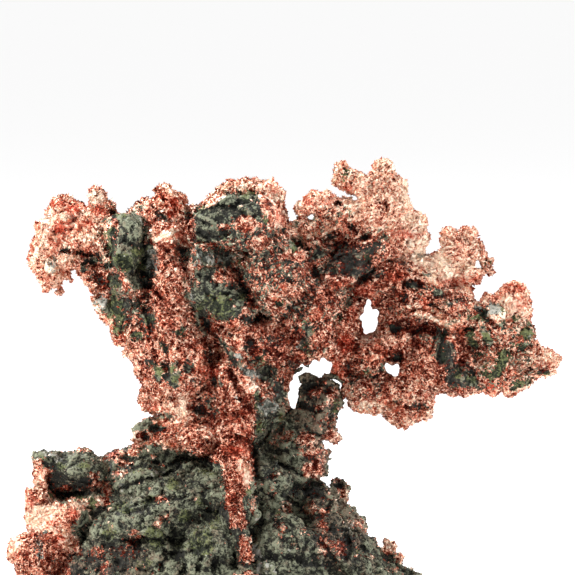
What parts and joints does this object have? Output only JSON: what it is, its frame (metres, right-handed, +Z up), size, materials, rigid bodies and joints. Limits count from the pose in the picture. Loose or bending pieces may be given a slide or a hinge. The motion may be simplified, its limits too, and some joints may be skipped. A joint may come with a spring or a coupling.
{
  "type": "native copper specimen",
  "caption": "Branching mass of native copper that grips dark basalt fragments and stands on a basalt mound cut flat underneath.",
  "frame": {"origin": "middle of the bounding box at the flat cut under the mound", "axes": "+Z up, -Y towards the side with the broad front view, +X to the right in that view"},
  "size_m": [0.1114, 0.0612, 0.093],
  "materials": {
    "copper": "bright hackly native copper",
    "rock": "dull grey-green basalt",
    "calcite": "pale translucent calcite"
  },
  "bodies": {
    "root": {"copper_trunk": "copper", "copper_left_arm": "copper", "copper_crown": "copper", "copper_right_branch": "copper", "copper_foot": "copper", "rock_base": "rock", "rock_ledge": "rock", "rock_knob": "rock", "rock_boulder_left": "rock", "rock_boulder_centre": "rock", "rock_boulder_lower": "rock", "rock_chunk_middle": "rock", "rock_chunk_right": "rock", "calcite_left": "calcite", "calcite_side": "calcite", "calcite_waist": "calcite", "calcite_right": "calcite"}
  },
  "joints": []
}
